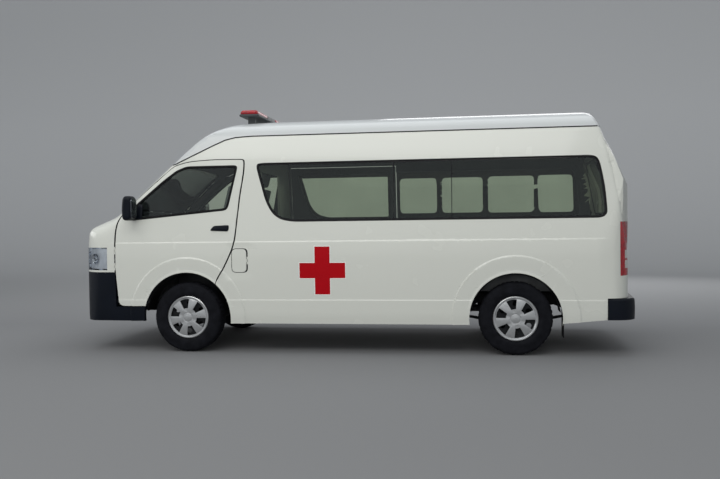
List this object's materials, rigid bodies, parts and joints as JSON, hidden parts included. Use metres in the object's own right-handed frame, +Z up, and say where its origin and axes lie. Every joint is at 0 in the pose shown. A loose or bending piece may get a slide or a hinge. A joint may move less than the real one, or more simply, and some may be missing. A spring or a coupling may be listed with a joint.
{
  "type": "ambulance van",
  "caption": "High-roof ambulance van with swinging front doors, lifting tailgate and bonnet, fuel flap, steered front wheels, rolling wheels, hollow cab and patient compartment, roof light bar.",
  "frame": {"origin": "middle of the vehicle's bounding box, on the ground under the tyres", "axes": "+X to the rear, +Y to the vehicle's right, +Z up"},
  "size_m": [5.377, 2.22, 2.368],
  "materials": {
    "body_white": "smooth gloss paint, off-white",
    "black_plastic": "fine grained, unpainted",
    "clear_glass": "smooth, lightly tinted",
    "tinted_glass": "smooth, dark tint",
    "lamp_clear": "smooth clear lens over a bright reflector",
    "lamp_red": "fluted red lens with two clear sections",
    "chassis_metal": "satin underbody paint, dusty",
    "cast_metal": "rough casting",
    "exhaust_steel": "dull, heat stained",
    "flap_rubber": "matte moulded rubber",
    "lightbar_grey": "grey centre with red lens ends",
    "cabin_plastic": "grained",
    "seat_fabric": "woven cloth",
    "partition_panel": "light panel",
    "bench_vinyl": "vinyl upholstery",
    "tyre_rubber": "matte rubber",
    "wheel_silver": "silver paint over metal"
  },
  "bodies": {
    "root": {"floor_pan": "chassis_metal", "body_side_left": "body_white", "body_side_right": "body_white", "roof": "body_white", "front_cowl": "body_white", "windscreen": "clear_glass", "side_glass": "tinted_glass", "sliding_door": "body_white", "front_bumper": "black_plastic", "rear_bumper": "black_plastic", "grille": "black_plastic", "headlamps": "lamp_clear", "tail_lamps": "lamp_red", "chassis_frame": "chassis_metal", "front_suspension": "chassis_metal", "rear_axle": "chassis_metal", "leaf_springs": "chassis_metal", "engine_block": "cast_metal", "propeller_shaft": "chassis_metal", "fuel_tank": "chassis_metal", "exhaust": "exhaust_steel", "mudflaps": "flap_rubber", "light_bar": "lightbar_grey", "dashboard": "cabin_plastic", "front_seats": "seat_fabric", "partition": "partition_panel", "side_bench": "bench_vinyl"},
    "front_door_left": {"front_door_left": "body_white", "door_glass_left": "clear_glass"},
    "front_door_right": {"front_door_right": "body_white", "door_glass_right": "clear_glass"},
    "tailgate": {"tailgate": "body_white", "tailgate_glass": "tinted_glass"},
    "bonnet": {"bonnet": "body_white"},
    "fuel_flap": {"fuel_flap": "body_white"},
    "steering_wheel": {"steering_wheel": "cabin_plastic"},
    "knuckle_left": {"knuckle_left": "cast_metal"},
    "knuckle_right": {"knuckle_right": "cast_metal"},
    "wheel_front_left": {"tyre_front_left": "tyre_rubber", "rim_front_left": "wheel_silver"},
    "wheel_front_right": {"tyre_front_right": "tyre_rubber", "rim_front_right": "wheel_silver"},
    "wheel_rear_left": {"tyre_rear_left": "tyre_rubber", "rim_rear_left": "wheel_silver"},
    "wheel_rear_right": {"tyre_rear_right": "tyre_rubber", "rim_rear_right": "wheel_silver"}
  },
  "joints": [
    {"name": "front_door_left_hinge", "type": "hinge", "parent": "root", "child": "front_door_left", "pos_m": [-2.2645, -0.936, 1], "axis": [0, 0, -1], "range_deg": [0, 65]},
    {"name": "front_door_right_hinge", "type": "hinge", "parent": "root", "child": "front_door_right", "pos_m": [-2.2645, 0.936, 1], "axis": [0, 0, 1], "range_deg": [0, 65]},
    {"name": "tailgate_hinge", "type": "hinge", "parent": "root", "child": "tailgate", "pos_m": [2.36906, 0, 2.0705], "axis": [0, -1, 0], "range_deg": [0, 85]},
    {"name": "bonnet_hinge", "type": "hinge", "parent": "root", "child": "bonnet", "pos_m": [-2.35, 0, 1.356], "axis": [0, 1, 0], "range_deg": [0, 50]},
    {"name": "fuel_flap_hinge", "type": "hinge", "parent": "root", "child": "fuel_flap", "pos_m": [-0.9335, -0.937, 0.882], "axis": [0, 0, 1], "range_deg": [0, 95]},
    {"name": "steer_left", "type": "hinge", "parent": "root", "child": "knuckle_left", "pos_m": [-1.54, -0.761, 0.336], "axis": [0, 0, 1], "range_deg": [-35, 35]},
    {"name": "steer_right", "type": "hinge", "parent": "root", "child": "knuckle_right", "pos_m": [-1.54, 0.761, 0.336], "axis": [0, 0, 1], "range_deg": [-35, 35]},
    {"name": "steering_wheel_turn", "type": "hinge", "parent": "root", "child": "steering_wheel", "pos_m": [-1.892, -0.4, 1.19], "axis": [0.6561, 0, 0.7547], "range_deg": [-630, 630]},
    {"name": "wheel_front_left_spin", "type": "hinge", "parent": "knuckle_left", "child": "wheel_front_left", "pos_m": [-1.54, -0.827, 0.336], "axis": [0, 1, 0], "continuous": true},
    {"name": "wheel_front_right_spin", "type": "hinge", "parent": "knuckle_right", "child": "wheel_front_right", "pos_m": [-1.54, 0.827, 0.336], "axis": [0, 1, 0], "continuous": true},
    {"name": "wheel_rear_left_spin", "type": "hinge", "parent": "root", "child": "wheel_rear_left", "pos_m": [1.57, -0.827, 0.336], "axis": [0, 1, 0], "continuous": true},
    {"name": "wheel_rear_right_spin", "type": "hinge", "parent": "root", "child": "wheel_rear_right", "pos_m": [1.57, 0.827, 0.336], "axis": [0, 1, 0], "continuous": true}
  ],
  "couplings": [
    {"joint": "steer_right", "follows": "steer_left", "ratio": 1},
    {"joint": "steering_wheel_turn", "follows": "steer_left", "ratio": 18}
  ]
}
